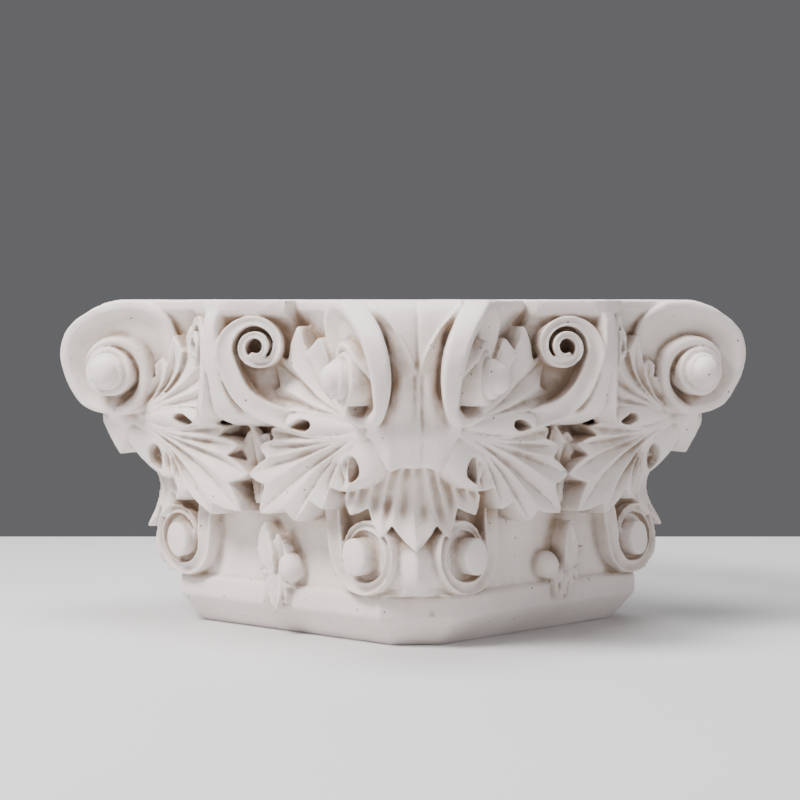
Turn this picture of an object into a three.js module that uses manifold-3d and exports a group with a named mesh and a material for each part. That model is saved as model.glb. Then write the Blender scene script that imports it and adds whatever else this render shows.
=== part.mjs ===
// A square composite capital, cast in one piece of plaster: a chamfered base slab, a bell with a sharp
// arris at each corner, acanthus leaves that spread from each corner over the faces, paired corner
// volutes, a console with two inner helices on each face, and an abacus with hollowed sides.
//
// Millimetres, +Z up, origin at the middle of the underside. Every form is made once for the half
// corner between the +X face and the corner at 45 degrees, then mirrored and turned to the other
// seven. In that half corner x is the distance from the axis towards the face, and y the distance
// along the face from its middle towards the corner.

import * as THREE from "three";
import { mergeVertices } from "three/addons/utils/BufferGeometryUtils.js";
import Module from "manifold-3d";

const HEIGHT = 300;

// Base slab: a square with its corners cut off, bevelled in to the foot.
const FOOT_HALF = 150;
const FOOT_CORNER = 191.4;
const SLAB_HALF = 173;
const SLAB_CORNER = 212.5;
const BEVEL_TOP = 26;
const SLAB_TOP = 45;

// Bell: half width of the wall at the slab, at its waist, under the leaves and under the abacus.
const WALL_FOOT = 169;
const WALL_WAIST = 166;
const WALL_LEAVES = 174;
const WALL_NECK = 184;

// Abacus: flat band on top, hollow moulding below it, hollowed in plan.
const BAND_DEPTH = 10;
const HOLLOW_DEPTH = 38;
const ABACUS_MIDDLE = 196;
const ABACUS_HOLLOW = 0.00134;
const ABACUS_REACH = 150;
const ABACUS_TIP = 268;

// Corner volutes: discs that stand in a V about the corner's diagonal, each with a knob.
const VOLUTE_TURN = THREE.MathUtils.degToRad(20);
const VOLUTE_ALONG = 266;
const VOLUTE_OFFSET = 51;
const VOLUTE_THICK = 27;
const VOLUTE_HALF_WIDE = 48;
const VOLUTE_HALF_HIGH = 52.5;
const VOLUTE_MIDDLE_U = 10.5;
const VOLUTE_MIDDLE_Z = 246;
const KNOB_U = 5;
const KNOB_Z = 234;
const KNOB_RADIUS = 21.5;
const KNOB_REACH = 30;
const RING_RADIUS = 31;

// Inner helices: two panels that fold back from the console's front strip on each face.
const CONSOLE_FRONT = 250;
const CONSOLE_HALF = 7;
const PANEL_TURN = THREE.MathUtils.degToRad(32);
const HELIX_S = 39;
const HELIX_Z = 259;
const HELIX_RADIUS = 24;
const HELIX_BAND = 12;

// Lower scrolls: one on each side of each corner, flat on the face.
const SCROLL_Y = 119;
const SCROLL_Z = 78;
const SCROLL_RADIUS = 31;
const SCROLL_FACE = 183;
const SCROLL_DISC = 191;

// Acanthus: the point under each volute where the big leaf's ribs meet, and the leaf's level.
const LEAF_ROOT_Y = 162;
const LEAF_ROOT_Z = 192;
const LEAF_LEVEL = 205;
const LEAF_SWELL = 7;
const GOUGE_DEPTH = 6;

const CASTING_COLOUR = 0xe6dcd5;

const wasm = await Module();
wasm.setup();

// A closed body from rings of points: sides between neighbouring rings, a fan over each end.
function loft(rings) {
  const count = rings[0].length;
  const positions = rings.flat().flatMap((point) => [point.x, point.y, point.z]);
  const faces = [];
  for (let ring = 0; ring + 1 < rings.length; ring += 1) {
    for (let i = 0; i < count; i += 1) {
      const a = ring * count + i;
      const b = ring * count + ((i + 1) % count);
      faces.push(a, b, b + count, a, b + count, a + count);
    }
  }
  for (const [ring, flipped] of [[0, true], [rings.length - 1, false]]) {
    const middle = new THREE.Vector3();
    rings[ring].forEach((point) => middle.addScaledVector(point, 1 / count));
    const hub = positions.length / 3;
    positions.push(middle.x, middle.y, middle.z);
    for (let i = 0; i < count; i += 1) {
      const a = ring * count + i;
      const b = ring * count + ((i + 1) % count);
      faces.push(...(flipped ? [b, a, hub] : [a, b, hub]));
    }
  }
  const geometry = new THREE.BufferGeometry();
  geometry.setAttribute("position", new THREE.Float32BufferAttribute(positions, 3));
  geometry.setIndex(faces);
  return geometry;
}

function signedVolume(positions, index) {
  const corner = (k) => new THREE.Vector3().fromArray(positions, 3 * index[k]);
  let volume = 0;
  for (let k = 0; k < index.length; k += 3) {
    volume += corner(k).dot(corner(k + 1).cross(corner(k + 2))) / 6;
  }
  return volume;
}

// A geometry, or its mirror image, as a solid with its faces pointing out.
function toSolid(source, matrix) {
  let geometry = source.clone().applyMatrix4(matrix);
  geometry.deleteAttribute("normal");
  geometry.deleteAttribute("uv");
  geometry = mergeVertices(geometry, 1e-3);
  const positions = geometry.attributes.position.array;
  const index = Array.from(geometry.index.array);
  const faces = [];
  for (let k = 0; k < index.length; k += 3) {
    const face = index.slice(k, k + 3);
    if (new Set(face).size === 3) {
      faces.push(...face);
    }
  }
  if (signedVolume(positions, faces) < 0) {
    faces.reverse();
  }
  return new wasm.Manifold(
    new wasm.Mesh({
      numProp: 3,
      vertProperties: new Float32Array(positions),
      triVerts: new Uint32Array(faces),
    }),
  );
}

// Corner coordinates (distance along the diagonal, offset to the +X side of it) to a point.
function cornerPoint(along, offset, z) {
  return new THREE.Vector3((along + offset) / Math.SQRT2, (along - offset) / Math.SQRT2, z);
}

function facePoint(x, y, z) {
  return new THREE.Vector3(x, y, z);
}

// A square section with its corners cut off at a given distance along the diagonal.
function cutSquare(half, corner, z) {
  const near = corner * Math.SQRT2 - half;
  const points = [];
  for (let quarter = 0; quarter < 4; quarter += 1) {
    const angle = (quarter * Math.PI) / 2;
    for (const [x, y] of [[half, -near], [half, near]]) {
      points.push(
        new THREE.Vector3(
          x * Math.cos(angle) - y * Math.sin(angle),
          x * Math.sin(angle) + y * Math.cos(angle),
          z,
        ),
      );
    }
  }
  return points;
}

function baseAndBell() {
  return loft([
    cutSquare(FOOT_HALF, FOOT_CORNER, 0),
    cutSquare(SLAB_HALF, SLAB_CORNER, BEVEL_TOP),
    cutSquare(SLAB_HALF, SLAB_CORNER, SLAB_TOP),
    cutSquare(WALL_FOOT, WALL_FOOT * 1.39, SLAB_TOP + 2),
    cutSquare(WALL_WAIST, WALL_WAIST * 1.405, 88),
    cutSquare(WALL_LEAVES, 216, 140),
    cutSquare(WALL_NECK, 240, 200),
    cutSquare(WALL_NECK, 256, HEIGHT - 12),
  ]);
}

// Plan of the abacus: hollowed sides, and a blunt point at each corner.
function abacusRing(setback, z) {
  const steps = 3;
  const points = [];
  for (let quarter = 0; quarter < 4; quarter += 1) {
    const angle = (quarter * Math.PI) / 2;
    const side = [];
    for (let i = -steps; i <= steps; i += 1) {
      const y = (i / steps) * ABACUS_REACH;
      side.push([ABACUS_MIDDLE - setback + ABACUS_HOLLOW * y * y, y * (1 - setback / 300)]);
    }
    const tip = (ABACUS_TIP - setback) / Math.SQRT2;
    side.push([tip, tip]);
    for (const [x, y] of side) {
      points.push(
        new THREE.Vector3(
          x * Math.cos(angle) - y * Math.sin(angle),
          x * Math.sin(angle) + y * Math.cos(angle),
          z,
        ),
      );
    }
  }
  return points;
}

function abacus() {
  return loft([
    abacusRing(16, HEIGHT - HOLLOW_DEPTH),
    abacusRing(9, HEIGHT - HOLLOW_DEPTH / 2),
    abacusRing(0, HEIGHT - BAND_DEPTH),
    abacusRing(0, HEIGHT),
  ]);
}

// A point near a volute: u runs outwards in the disc's plane, rise stands off its outer face.
function volutePoint(u, z, rise) {
  const sine = Math.sin(VOLUTE_TURN);
  const cosine = Math.cos(VOLUTE_TURN);
  return cornerPoint(
    VOLUTE_ALONG + u * cosine + rise * sine,
    VOLUTE_OFFSET - u * sine + rise * cosine,
    z,
  );
}

function volute() {
  const sides = 12;
  const ring = (middleU, middleZ, wide, high, rise) =>
    Array.from({ length: sides }, (_, i) => {
      const angle = (2 * Math.PI * i) / sides;
      return volutePoint(middleU + wide * Math.cos(angle), middleZ + high * Math.sin(angle), rise);
    });
  const rim = (inset, rise) =>
    ring(
      VOLUTE_MIDDLE_U,
      VOLUTE_MIDDLE_Z,
      VOLUTE_HALF_WIDE - inset,
      VOLUTE_HALF_HIGH - inset,
      rise,
    );
  const coil = (radius, rise) => ring(KNOB_U, KNOB_Z, radius, radius, rise);
  return loft([
    rim(2, -VOLUTE_THICK),
    rim(0, -1),
    coil(RING_RADIUS + 2, 2),
    coil(KNOB_RADIUS + 2, -5),
  ]);
}

// The knob at a volute's eye: a drum, a stepped ring and a domed cap, turned about its own axis.
function knob() {
  const profile = [
    [0, -8],
    [KNOB_RADIUS + 1, -8],
    [KNOB_RADIUS - 1, KNOB_REACH - 10],
    [KNOB_RADIUS - 8, KNOB_REACH - 8],
    [KNOB_RADIUS - 10, KNOB_REACH - 2],
    [0, KNOB_REACH],
  ].map(([radius, rise]) => new THREE.Vector2(radius, rise));
  const geometry = new THREE.LatheGeometry(profile, 8);
  const outwards = volutePoint(0, 0, 1).sub(volutePoint(0, 0, 0));
  const turn = new THREE.Quaternion().setFromUnitVectors(new THREE.Vector3(0, 1, 0), outwards);
  const place = volutePoint(KNOB_U, KNOB_Z, 0);
  return geometry.applyQuaternion(turn).translate(place.x, place.y, place.z);
}

// A leaf as one fan of gouged lobes: a vein runs from the root through a bend to each tip, a ridge
// to each notch between them, and the rim drops back to the wall. place(across, z, level) gives
// the point.
function leafFan({ root, lobes, notch = 0.6, middle, tip, gouge, back, place }) {
  const start = new THREE.Vector2(...root);
  const rays = [];
  lobes.forEach((lobe, i) => {
    const bend = new THREE.Vector2(...lobe.bend);
    const end = new THREE.Vector2(...lobe.tip);
    const half = start.clone().lerp(bend, 0.5).lerp(bend.clone().lerp(end, 0.5), 0.5);
    if (i > 0) {
      const last = rays[rays.length - 1];
      const between = half.clone().lerp(last.half, 0.5);
      const reach = lobe.notch ?? notch;
      rays.push({
        half: between,
        end: between.clone().lerp(end.clone().lerp(last.end, 0.5), reach),
        drop: 0,
      });
    }
    rays.push({ half, end, drop: gouge });
  });
  const positions = [];
  const add = (point, level) => {
    const placed = place(point.x, point.y, level);
    positions.push(placed.x, placed.y, placed.z);
    return positions.length / 3 - 1;
  };
  const front = add(start, middle - 2);
  const rear = add(start, back);
  const columns = rays.map(({ half, end, drop }) => [
    add(half, middle - drop),
    add(end, tip - 0.6 * drop),
    add(end, back),
  ]);
  const faces = [];
  for (let i = 0; i + 1 < columns.length; i += 1) {
    const [halfA, endA, backA] = columns[i];
    const [halfB, endB, backB] = columns[i + 1];
    faces.push(front, halfA, halfB, halfA, endA, endB, halfA, endB, halfB);
    faces.push(endA, backA, backB, endA, backB, endB, rear, backB, backA);
  }
  for (const [column, flipped] of [[columns[0], false], [columns.at(-1), true]]) {
    const [half, end, foot] = column;
    const side = [front, rear, half, rear, foot, half, half, foot, end];
    faces.push(...(flipped ? side.reverse() : side));
  }
  const geometry = new THREE.BufferGeometry();
  geometry.setAttribute("position", new THREE.Float32BufferAttribute(positions, 3));
  geometry.setIndex(faces);
  return geometry;
}

// The big leaf: upper lobes curl up beside the volute, lower ones sweep down over the face.
const BIG_LEAF_LOBES = [
  { bend: [112, 208], tip: [96, 266], notch: 0.75 },
  { bend: [98, 203], tip: [69, 277], notch: 0.7 },
  { bend: [88, 203], tip: [37, 248], notch: 0.4 },
  { bend: [98, 200], tip: [31, 216], notch: 0.6 },
  { bend: [95, 182], tip: [29, 186], notch: 0.45 },
  { bend: [98, 180], tip: [13, 171], notch: 0.8 },
  { bend: [102, 182], tip: [1, 145], notch: 0.75 },
  { bend: [108, 184], tip: [12, 110], notch: 0.6 },
  { bend: [114, 182], tip: [51, 108], notch: 0.85 },
  { bend: [118, 180], tip: [90, 120], notch: 0.8 },
  { bend: [142, 172], tip: [128, 139], notch: 0.9 },
];

function bigLeaf() {
  return leafFan({
    root: [LEAF_ROOT_Y, LEAF_ROOT_Z],
    lobes: BIG_LEAF_LOBES,
    middle: LEAF_LEVEL + LEAF_SWELL,
    tip: LEAF_LEVEL - 2,
    gouge: GOUGE_DEPTH,
    back: WALL_WAIST - 4,
    place: (y, z, x) => facePoint(x, y, z),
  });
}

// The drilled eyes between the lobes: [y, z, half width, half height].
const LEAF_EYES = [
  [75, 191.5, 12, 5],
  [126, 154, 10, 9],
];

function leafEyes() {
  return LEAF_EYES.map(([y, z, wide, high]) => {
    const ring = (x) =>
      Array.from({ length: 6 }, (_, i) => {
        const angle = (2 * Math.PI * i) / 6;
        return facePoint(x, y + wide * Math.cos(angle), z + high * Math.sin(angle));
      });
    return loft([ring(WALL_NECK + 2), ring(LEAF_LEVEL + 25)]);
  });
}

// The corner leaf between the volutes: it hangs from the abacus, narrow and fluted, and ends in a
// flaring skirt. Each row gives z, half width, the distance of its rib and of its edges.
const CORNER_LEAF_ROWS = [
  [HEIGHT, 40, 264, 262],
  [288, 37, 290, 282],
  [262, 33, 293, 283],
  [206, 30, 283, 273],
  [184, 38, 278, 263],
  [158, 19, 259, 252],
];

function cornerLeaf() {
  const across = [-1, -0.4, 0, 0.4, 1];
  const rings = CORNER_LEAF_ROWS.map(([z, half, rib, edge]) => {
    const front = across.map((share, i) => {
      const groove = i % 2 === 1 ? 4 : 0;
      return cornerPoint(rib + (edge - rib) * share * share - groove, share * half, z);
    });
    return [...front, cornerPoint(205, half, z), cornerPoint(205, -half, z)];
  });
  return loft(rings);
}

// The fan under the skirt: lobes that run down the corner and turn out at their tips.
const FAN_TIPS = [
  [-52, 114],
  [-28, 97],
  [0, 87],
  [28, 97],
  [52, 114],
];

function cornerFan() {
  return leafFan({
    root: [0, 176],
    lobes: FAN_TIPS.map(([across, z]) => ({ bend: [across * 1.1, 142], tip: [across, z] })),
    notch: 0.7,
    middle: 236,
    tip: 242,
    gouge: GOUGE_DEPTH,
    back: 205,
    place: (across, z, along) => cornerPoint(along - 0.42 * Math.abs(across), across, z),
  });
}

// A scroll on the face below the leaves, with a groove and a flat disc, and the stalk it hangs on.
function lowerScroll() {
  const sides = 9;
  const ring = (radius, x) =>
    Array.from({ length: sides }, (_, i) => {
      const angle = (2 * Math.PI * i) / sides;
      return facePoint(x, SCROLL_Y + radius * Math.cos(angle), SCROLL_Z + radius * Math.sin(angle));
    });
  return loft([
    ring(SCROLL_RADIUS + 1, WALL_WAIST - 6),
    ring(SCROLL_RADIUS - 2, SCROLL_FACE),
    ring(SCROLL_RADIUS - 12, SCROLL_FACE - 9),
    ring(SCROLL_RADIUS - 17, SCROLL_DISC),
  ]);
}

function scrollStalk() {
  return leafFan({
    root: [100, 56],
    lobes: [
      { bend: [80, 76], tip: [74, 136] },
      { bend: [90, 76], tip: [92, 136] },
    ],
    notch: 1,
    middle: SCROLL_FACE,
    tip: SCROLL_FACE + 3,
    gouge: 4,
    back: WALL_WAIST - 6,
    place: (y, z, x) => facePoint(x, y, z),
  });
}

// A point on a console's side panel: s runs back from the front strip, rise stands off the panel.
function panelPoint(s, z, rise) {
  const sine = Math.sin(PANEL_TURN);
  const cosine = Math.cos(PANEL_TURN);
  return facePoint(
    CONSOLE_FRONT - s * sine + rise * cosine,
    CONSOLE_HALF + s * cosine + rise * sine,
    z,
  );
}

// The console behind its two panels, from the front strip back to the bell.
function consoleBody() {
  const level = (z, reach, front) => {
    const side = CONSOLE_HALF + reach * Math.cos(PANEL_TURN);
    const rear = front - reach * Math.sin(PANEL_TURN);
    return [
      facePoint(WALL_NECK - 6, -side, z),
      facePoint(rear, -side, z),
      facePoint(front, -CONSOLE_HALF, z),
      facePoint(front, CONSOLE_HALF, z),
      facePoint(rear, side, z),
      facePoint(WALL_NECK - 6, side, z),
    ];
  };
  return loft([
    level(198, 46, 222),
    level(232, 60, CONSOLE_FRONT - 12),
    level(HEIGHT - BAND_DEPTH, 60, CONSOLE_FRONT - 9),
    level(HEIGHT, 60, CONSOLE_FRONT - 2),
  ]);
}

// The helix: a band that climbs from behind the big leaf, turns over and coils in to a small eye.
function helix() {
  const path = [];
  const stem = new THREE.CubicBezierCurve(
    new THREE.Vector2(70, 193),
    new THREE.Vector2(40, 197),
    new THREE.Vector2(9, 214),
    new THREE.Vector2(HELIX_S - HELIX_RADIUS - 8, HELIX_Z - 8),
  );
  const stemSteps = 2;
  for (let i = 0; i < stemSteps; i += 1) {
    path.push(stem.getPoint(i / stemSteps));
  }
  const turns = 1.4;
  const steps = 8;
  for (let i = 0; i <= steps; i += 1) {
    const share = i / steps;
    const angle = Math.PI * 1.06 - 2 * Math.PI * turns * share;
    const radius = THREE.MathUtils.lerp(HELIX_RADIUS + 8, 6, share ** 0.7);
    path.push(
      new THREE.Vector2(HELIX_S + radius * Math.cos(angle), HELIX_Z + radius * Math.sin(angle)),
    );
  }
  const rings = path.map((point, i) => {
    const before = path[Math.max(i - 1, 0)];
    const after = path[Math.min(i + 1, path.length - 1)];
    const tangent = after.clone().sub(before).normalize();
    const side = new THREE.Vector2(-tangent.y, tangent.x);
    const share = i / (path.length - 1);
    const half = (HELIX_BAND / 2) * (1 - 0.5 * share);
    const outer = point.clone().addScaledVector(side, half);
    const crest = point.clone().addScaledVector(side, half * 0.4);
    const inner = point.clone().addScaledVector(side, -half);
    return [
      panelPoint(outer.x, outer.y, -9),
      panelPoint(crest.x, crest.y, 3),
      panelPoint(inner.x, inner.y, -9),
    ];
  });
  return loft(rings);
}

// The leaf low in the middle of each face, seen between the tips of the big leaves.
function middleLeaf() {
  return leafFan({
    root: [0, 112],
    lobes: [-24, 0, 24].map((y) => ({
      bend: [y * 0.6, 140],
      tip: [y, 188 - Math.abs(y) * 0.5],
    })),
    notch: 0.85,
    middle: LEAF_LEVEL - 10,
    tip: LEAF_LEVEL - 4,
    gouge: 5,
    back: WALL_WAIST - 4,
    place: (y, z, x) => facePoint(x, y, z),
  });
}

// The flower on each face: a pointed petal, petals that fall over the slab, and a round bud. The
// petal and the bud change places from one face to the next.
const FLOWER_TIPS = [
  [-24, 50],
  [-14, 26],
  [18, 26],
  [30, 50],
];
const FLOWER_LAYOUTS = [
  { petalY: 20, budY: -2 },
  { petalY: 2, budY: 22 },
];
const BUD_RADIUS = 13;

function flower({ petalY, budY }) {
  const onFace = (y, z, x) => facePoint(x, y, z);
  const levels = { middle: 182, tip: 184, gouge: 4, back: WALL_WAIST - 4, place: onFace };
  const upright = leafFan({
    root: [petalY, 56],
    lobes: [
      { bend: [petalY - 12, 76], tip: [petalY - 6, 98] },
      { bend: [petalY + 6, 76], tip: [petalY + 1, 98] },
    ],
    notch: 1.3,
    ...levels,
  });
  const falling = leafFan({
    root: [2, 66],
    lobes: FLOWER_TIPS.map(([y, z]) => ({ bend: [y, (z + 66) / 2], tip: [y, z] })),
    notch: 0.7,
    ...levels,
  });
  const bud = new THREE.SphereGeometry(BUD_RADIUS, 6, 4);
  bud.rotateX(Math.PI / 2);
  bud.translate(WALL_FOOT + 6, budY, 62);
  return [upright, falling, bud];
}

function buildCapital() {
  const whole = new THREE.Matrix4();
  const swapped = new THREE.Matrix4().set(0, 1, 0, 0, 1, 0, 0, 0, 0, 0, 1, 0, 0, 0, 0, 1);
  const halfCorner = [volute(), knob(), bigLeaf(), lowerScroll(), scrollStalk(), helix()];
  const oncePerCorner = [cornerLeaf(), cornerFan()];
  const oncePerFace = [consoleBody(), middleLeaf()];
  const eyes = leafEyes();
  const solids = [toSolid(baseAndBell(), whole), toSolid(abacus(), whole)];
  const cuts = [];
  for (let quarter = 0; quarter < 4; quarter += 1) {
    const turned = new THREE.Matrix4().makeRotationZ((quarter * Math.PI) / 2);
    const mirrored = turned.clone().multiply(swapped);
    for (const matrix of [turned, mirrored]) {
      halfCorner.forEach((geometry) => solids.push(toSolid(geometry, matrix)));
      eyes.forEach((geometry) => cuts.push(toSolid(geometry, matrix)));
    }
    const bloom = flower(FLOWER_LAYOUTS[quarter % FLOWER_LAYOUTS.length]);
    [...oncePerCorner, ...oncePerFace, ...bloom].forEach((geometry) => {
      solids.push(toSolid(geometry, turned));
    });
  }
  const joined = wasm.Manifold.union(solids);
  return joined.subtract(wasm.Manifold.union(cuts));
}

function solidGeometry(solid) {
  const mesh = solid.getMesh();
  const geometry = new THREE.BufferGeometry();
  const positions = Float32Array.from(mesh.vertProperties);
  geometry.setAttribute("position", new THREE.BufferAttribute(positions, 3));
  geometry.setIndex(new THREE.BufferAttribute(Uint32Array.from(mesh.triVerts), 1));
  geometry.computeVertexNormals();
  return geometry;
}

const castPlaster = new THREE.MeshStandardMaterial({
  color: CASTING_COLOUR,
  roughness: 0.85,
  metalness: 0,
});
const capital = new THREE.Mesh(solidGeometry(buildCapital()), castPlaster);
capital.name = "capital";

const model = new THREE.Group();
model.add(capital);

export default model;
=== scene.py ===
"""A square composite capital cast in one piece of old white plaster, dressed for its portrait.

All sizes are in millimetres until a mesh is made. Every form is worked out once for the half
corner between the +X face and the corner at 45 degrees: x runs from the axis to the face, y along
the face from its middle to the corner. The half corner is then mirrored and turned to the other
seven. Corner forms use the distance along the diagonal and the offset to the +X side of it.
"""

import math

import bpy
import numpy as np
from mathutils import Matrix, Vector


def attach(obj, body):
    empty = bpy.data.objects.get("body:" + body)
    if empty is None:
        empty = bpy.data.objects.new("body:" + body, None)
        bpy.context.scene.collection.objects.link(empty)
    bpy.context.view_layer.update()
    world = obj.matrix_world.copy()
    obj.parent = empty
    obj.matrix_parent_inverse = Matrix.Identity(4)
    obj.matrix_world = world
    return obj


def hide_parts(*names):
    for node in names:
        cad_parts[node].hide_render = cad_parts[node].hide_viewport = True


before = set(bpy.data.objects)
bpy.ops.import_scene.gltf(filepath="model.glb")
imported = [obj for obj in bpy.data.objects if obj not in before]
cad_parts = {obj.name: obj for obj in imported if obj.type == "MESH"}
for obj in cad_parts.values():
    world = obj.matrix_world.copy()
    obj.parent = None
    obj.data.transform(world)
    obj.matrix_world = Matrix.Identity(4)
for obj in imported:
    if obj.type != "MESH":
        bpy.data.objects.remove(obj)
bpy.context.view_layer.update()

MM = 0.001
TOP = 300.0
VOXEL = 1.05
TRIANGLES = 196000
rng = np.random.default_rng(11)

# Levels on a face, from the axis.
WALL = 166.0
# The casting sits a little off centre over its own base slab.
SLAB_SHIFT = (2.9, 2.7)
DEEP = 150.0
SQRT2 = math.sqrt(2.0)


# ---------------------------------------------------------------- shells from grids


def through(points, share):
    """Catmull-Rom curve through the points: share 0 is the first, 1 the last, evenly between."""
    p = np.asarray(points, float)
    if p.ndim == 1:
        p = p[:, None]
    p = np.vstack([2 * p[0] - p[1], p, 2 * p[-1] - p[-2]])
    spans = len(p) - 3
    s = np.clip(np.asarray(share, float), 0, 1) * spans
    i = np.minimum(s.astype(int), spans - 1)
    f = (s - i)[..., None]
    a, b, c, d = p[i], p[i + 1], p[i + 2], p[i + 3]
    return b + 0.5 * f * (c - a + f * (2 * a - 5 * b + 4 * c - d + f * (3 * (b - c) + d - a)))


def along(keys, values, at):
    """Smooth value at each place: cubic easing between the (key, value) pairs next to it."""
    at = np.clip(at, keys[0], keys[-1])
    i = np.clip(np.searchsorted(keys, at, side="right") - 1, 0, len(keys) - 2)
    keys, values = np.asarray(keys, float), np.asarray(values, float)
    f = (at - keys[i]) / (keys[i + 1] - keys[i])
    slope = np.gradient(values, keys)
    span = keys[i + 1] - keys[i]
    f2, f3 = f * f, f * f * f
    return (
        (2 * f3 - 3 * f2 + 1) * values[i]
        + (f3 - 2 * f2 + f) * span * slope[i]
        + (3 * f2 - 2 * f3) * values[i + 1]
        + (f3 - f2) * span * slope[i + 1]
    )


def step(low, high, at):
    """Smooth step from 0 at low to 1 at high."""
    f = np.clip((at - low) / (high - low), 0, 1)
    return f * f * (3 - 2 * f)


def hill(distance, width):
    """A round bump: 1 at distance 0, fading over the width."""
    return np.exp(-((distance / width) ** 2))


def quads(rows, columns, offset=0, wrap=False):
    """Two triangles for each cell of a grid of points numbered row by row."""
    r = np.arange(rows - 1)[:, None]
    c = np.arange(columns if wrap else columns - 1)[None, :]
    n = (c + 1) % columns
    a, b = offset + r * columns + c, offset + r * columns + n
    d, e = a + columns, b + columns
    cells = np.stack([a, b, e, a, e, d], -1)
    return cells.reshape(-1, 3)


def closed_slab(front, back, wrap=False):
    """A carved skin and the back behind it, both grids of the same size, joined all round."""
    rows, columns = front.shape[:2]
    count = rows * columns
    numbers = np.arange(count).reshape(rows, columns)
    faces = [quads(rows, columns, 0, wrap), quads(rows, columns, count, wrap)[:, ::-1]]
    rims = [numbers[0], numbers[-1]]
    if wrap:
        rims = [np.append(rim, rim[0]) for rim in rims]
    else:
        rims += [numbers[:, 0], numbers[:, -1]]
    for rim in rims:
        a, b = rim[:-1], rim[1:]
        faces.append(np.stack([a, b, b + count], -1))
        faces.append(np.stack([a, b + count, a + count], -1))
    points = np.concatenate([front.reshape(-1, 3), back.reshape(-1, 3)])
    return points, np.concatenate(faces)


def tube(rings):
    """Rings of equal count joined one to the next, with a fan over each end."""
    rings = np.asarray(rings, float)
    steps, count = rings.shape[:2]
    faces = [quads(steps, count, 0, True)]
    i = np.arange(count)
    points = [rings.reshape(-1, 3)]
    for row, hub in ((0, steps * count), (steps - 1, steps * count + 1)):
        a, b = row * count + i, row * count + (i + 1) % count
        faces.append(np.stack([a, b, np.full(count, hub)], -1))
        points.append(rings[row].mean(0)[None])
    return np.concatenate(points), np.concatenate(faces)


def corner_xyz(far, offset, z):
    """Corner coordinates to half-corner ones."""
    far, offset, z = np.broadcast_arrays(far, offset, z)
    return np.stack([(far + offset) / SQRT2, (far - offset) / SQRT2, z], -1).astype(float)


def face_xyz(y, z, x):
    y, z, x = np.broadcast_arrays(y, z, x)
    return np.stack([x, y, z], -1).astype(float)


# ---------------------------------------------------------------- core, slab and abacus


def cut_square_ring(half, corner, z):
    """An eight-sided ring: a square of that half width, its corners cut off at that diagonal."""
    near = corner * SQRT2 - half
    points = []
    for quarter in range(4):
        c, s = math.cos(quarter * math.pi / 2), math.sin(quarter * math.pi / 2)
        for x, y in ((half, -near), (half, near)):
            points.append((x * c - y * s, x * s + y * c, z))
    return points


def slab_and_bell():
    """Rings up the axis: foot, bevel, slab with eased edges, then the plain bell."""
    rows = [
        (0.0, 149.0, 190.4),
        (1.5, 150.6, 191.8),
        (24.0, 171.5, 211.2),
        (27.0, 173.0, 212.5),
        (42.0, 173.0, 212.5),
        (45.0, 171.3, 211.0),
        (46.5, 168.5, 226.0),
        (60.0, 167.0, 228.0),
        (84.0, 166.0, 222.0),
        (100.0, 167.0, 210.0),
        (125.0, 170.0, 205.0),
        (150.0, 174.0, 206.0),
        (180.0, 178.0, 225.0),
        (200.0, 180.0, 240.0),
        (240.0, 181.0, 256.0),
        (288.0, 184.0, 258.0),
    ]
    return tube([cut_square_ring(half, corner, z) for z, half, corner in rows])


def abacus():
    """Hollow-sided plan, 196 + 0.00134 y^2 from the axis, under a flat band and over a cavetto."""
    z = np.array([250, 256, 262, 266, 270, 274, 278, 282, 286, 288.5, 290.5, 292, 298.5, 300.0])
    setback = np.array([22, 20.5, 18.5, 17, 15.2, 13.2, 11, 8.6, 5.8, 3.6, 1.4, 0.4, 0.0, 1.2])
    rings = []
    for level, back in zip(z, setback):
        ring = []
        y = np.linspace(-150, 150, 25)
        x = 196 - back + 0.00134 * y * y
        tip = (268 - back) / SQRT2
        side = np.column_stack([np.append(x, tip), np.append(y * (1 - back / 300), tip)])
        for quarter in range(4):
            c, s = math.cos(quarter * math.pi / 2), math.sin(quarter * math.pi / 2)
            turned = side @ np.array([[c, s], [-s, c]])
            ring.append(np.column_stack([turned, np.full(len(turned), level)]))
        rings.append(np.concatenate(ring))
    return tube(rings)


# ---------------------------------------------------------------- corner volutes

WHEEL_MIDDLE = (10.0, 246.0)
WHEEL_RIM = [
    (0, 300), (20, 294.5), (32, 288), (44, 280), (54, 268), (58.5, 250), (55.5, 232),
    (48, 216), (37, 202), (20, 195), (0, 193), (-22, 196), (-42, 206), (-56, 228),
    (-60, 256), (-52, 282), (-28, 298), (0, 300),
]
KNOB = (5.0, 234.0)
RING_TURN = [-30, 11, 54, 88, 119, 150, 177, 205, 232, 262, 300]
RING_OUTER = [27, 29.5, 31.5, 33, 35.4, 38.5, 38.5, 40, 42, 42, 40]
RING_INNER = [24, 24, 22.5, 21.5, 21.5, 22.5, 24, 26, 28, 32, 36]


def wheel_xyz(u, z, rise):
    """A point by the volute: u outwards along its face, which leans out towards the top."""
    lean = np.clip(0.25 * (z - 233), -6, 14)
    return corner_xyz(266 + 0.955 * u + 0.3 * rise, 50.5 - 0.27 * u + lean + 0.95 * rise, z)


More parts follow.
